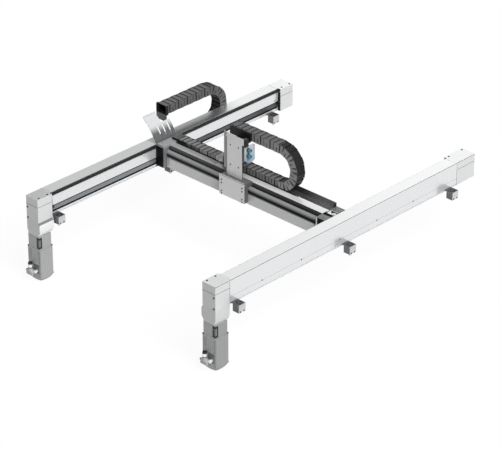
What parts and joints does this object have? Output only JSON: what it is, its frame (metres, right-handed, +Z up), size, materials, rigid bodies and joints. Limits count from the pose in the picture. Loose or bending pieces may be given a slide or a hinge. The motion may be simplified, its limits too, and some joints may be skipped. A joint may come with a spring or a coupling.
{
  "type": "planar belt gantry robot",
  "caption": "Planar gantry: two fixed beams with hanging motors, a belt-driven cross beam that rides on both, and a slide with a vertical tool plate and cable chains.",
  "frame": {"origin": "centre of the rectangle of the four corner bolt holes, on the underside of the feet", "axes": "+X across from the left beam to the right beam, +Y along the beams away from the motors, +Z up"},
  "size_m": [1.406, 1.873, 0.6971],
  "materials": {
    "anodised": "satin",
    "anodised_dark": "satin",
    "steel_rail": "ground",
    "steel_dark": "black oxide",
    "motor_grey": "satin",
    "bearing_steel": "polished",
    "belt_black": "matte",
    "rubber_black": "matte",
    "chain_black": "satin",
    "sheet_grey": "satin",
    "slide_grey": "satin",
    "fitting_teal": "gloss",
    "connector_silver": "satin"
  },
  "bodies": {
    "fixed_frame": {"left_beam_profile": "anodised", "right_beam_profile": "anodised", "beam_top_covers": "anodised", "beam_guide_rails": "steel_rail", "drive_heads": "anodised", "drive_head_lids": "anodised", "shaft_bearings": "bearing_steel", "coupling_housings": "anodised", "motor_housings": "motor_grey", "motor_end_caps": "motor_grey", "motor_plugs": "connector_silver", "idler_heads": "anodised", "idler_head_lids": "anodised", "frame_idler_axles": "bearing_steel", "mounting_feet": "anodised", "stop_buffers": "rubber_black", "cover_screws": "steel_dark", "belt_outer_strands": "belt_black", "belt_inner_strands": "belt_black", "side_chain_lower_run": "chain_black", "side_chain_tray": "sheet_grey"},
    "cross_beam": {"cross_beam_profile": "anodised", "cross_nose_cover": "anodised", "cross_front_plate": "anodised", "cross_guide_rail": "steel_rail", "cross_chain_tray": "anodised", "beam_end_plates": "anodised", "left_carriage": "anodised_dark", "right_carriage": "anodised_dark", "beam_idler_axles": "bearing_steel", "runner_blocks": "steel_rail", "carriage_top_plates": "anodised", "cable_sheet": "sheet_grey", "cable_duct": "chain_black", "cross_chain_lower_run": "chain_black", "side_chain_upper_run": "chain_black", "belt_rear_strand": "belt_black", "belt_front_strands": "belt_black"},
    "slide": {"slide_base_plate": "slide_grey", "slide_runner_carrier": "steel_rail", "belt_clamp": "anodised", "tool_plate": "slide_grey", "chain_end_bracket": "steel_dark", "connector_plate": "sheet_grey", "hose_fittings": "fitting_teal", "cross_chain_upper_run": "chain_black"},
    "left_drive_rotor": {"left_drive_pulley": "anodised", "left_shaft_train": "steel_rail"},
    "right_drive_rotor": {"right_drive_pulley": "anodised", "right_shaft_train": "steel_rail"},
    "left_idler_rotor": {"left_idler_pulley": "anodised"},
    "right_idler_rotor": {"right_idler_pulley": "anodised"},
    "left_near_rotor": {"left_near_beam_idler": "bearing_steel"},
    "left_far_rotor": {"left_far_beam_idler": "bearing_steel"},
    "right_near_rotor": {"right_near_beam_idler": "bearing_steel"},
    "right_far_rotor": {"right_far_beam_idler": "bearing_steel"},
    "cross_chain_low_half": {"cross_chain_bend_lower": "chain_black"},
    "cross_chain_high_half": {"cross_chain_bend_upper": "chain_black"},
    "side_chain_low_half": {"side_chain_bend_lower": "chain_black"},
    "side_chain_high_half": {"side_chain_bend_upper": "chain_black"}
  },
  "joints": [
    {"name": "cross_beam_travel", "type": "slide", "parent": "fixed_frame", "child": "cross_beam", "axis": [0, 1, 0], "range_m": [-0.69, 0.59], "deforming": ["belt_inner_strands", "side_chain_lower_run", "side_chain_upper_run"]},
    {"name": "slide_travel", "type": "slide", "parent": "cross_beam", "child": "slide", "axis": [1, 0, 0], "range_m": [-0.39, 0.34], "deforming": ["belt_front_strands", "cross_chain_lower_run", "cross_chain_upper_run"]},
    {"name": "left_drive_spin", "type": "hinge", "parent": "fixed_frame", "child": "left_drive_rotor", "pos_m": [-0.6, -0.841, 0.15], "axis": [0, 0, 1], "continuous": true},
    {"name": "right_drive_spin", "type": "hinge", "parent": "fixed_frame", "child": "right_drive_rotor", "pos_m": [0.6, -0.841, 0.15], "axis": [0, 0, 1], "continuous": true},
    {"name": "left_idler_spin", "type": "hinge", "parent": "fixed_frame", "child": "left_idler_rotor", "pos_m": [-0.6, 0.871, 0.15], "axis": [0, 0, 1], "continuous": true},
    {"name": "right_idler_spin", "type": "hinge", "parent": "fixed_frame", "child": "right_idler_rotor", "pos_m": [0.6, 0.871, 0.15], "axis": [0, 0, 1], "continuous": true},
    {"name": "left_near_spin", "type": "hinge", "parent": "cross_beam", "child": "left_near_rotor", "pos_m": [-0.556, -0.044, 0.15], "axis": [0, 0, 1], "continuous": true},
    {"name": "left_far_spin", "type": "hinge", "parent": "cross_beam", "child": "left_far_rotor", "pos_m": [-0.556, 0.012, 0.15], "axis": [0, 0, 1], "continuous": true},
    {"name": "right_near_spin", "type": "hinge", "parent": "cross_beam", "child": "right_near_rotor", "pos_m": [0.556, -0.044, 0.15], "axis": [0, 0, 1], "continuous": true},
    {"name": "right_far_spin", "type": "hinge", "parent": "cross_beam", "child": "right_far_rotor", "pos_m": [0.556, 0.012, 0.15], "axis": [0, 0, 1], "continuous": true},
    {"name": "cross_chain_low_travel", "type": "slide", "parent": "cross_beam", "child": "cross_chain_low_half", "axis": [1, 0, 0], "range_m": [-0.196, 0.171]},
    {"name": "cross_chain_high_travel", "type": "slide", "parent": "slide", "child": "cross_chain_high_half", "axis": [1, 0, 0], "range_m": [-0.171, 0.196]},
    {"name": "side_chain_low_travel", "type": "slide", "parent": "fixed_frame", "child": "side_chain_low_half", "axis": [0, 1, 0], "range_m": [-0.346, 0.296]},
    {"name": "side_chain_high_travel", "type": "slide", "parent": "cross_beam", "child": "side_chain_high_half", "axis": [0, 1, 0], "range_m": [-0.296, 0.346]}
  ],
  "couplings": [
    {"joint": "left_drive_spin", "follows": "cross_beam_travel", "rad_per_m": 33.333},
    {"joint": "left_idler_spin", "follows": "cross_beam_travel", "rad_per_m": 33.333},
    {"joint": "right_drive_spin", "follows": "cross_beam_travel", "rad_per_m": -33.333},
    {"joint": "right_idler_spin", "follows": "cross_beam_travel", "rad_per_m": -33.333},
    {"joint": "left_near_spin", "follows": "slide_travel", "rad_per_m": -71.429},
    {"joint": "left_far_spin", "follows": "slide_travel", "rad_per_m": -71.429},
    {"joint": "right_near_spin", "follows": "slide_travel", "rad_per_m": -71.429},
    {"joint": "right_far_spin", "follows": "slide_travel", "rad_per_m": -71.429},
    {"joint": "cross_chain_low_travel", "follows": "slide_travel", "ratio": 0.5},
    {"joint": "cross_chain_high_travel", "follows": "slide_travel", "ratio": -0.5},
    {"joint": "side_chain_low_travel", "follows": "cross_beam_travel", "ratio": 0.5},
    {"joint": "side_chain_high_travel", "follows": "cross_beam_travel", "ratio": -0.5}
  ]
}
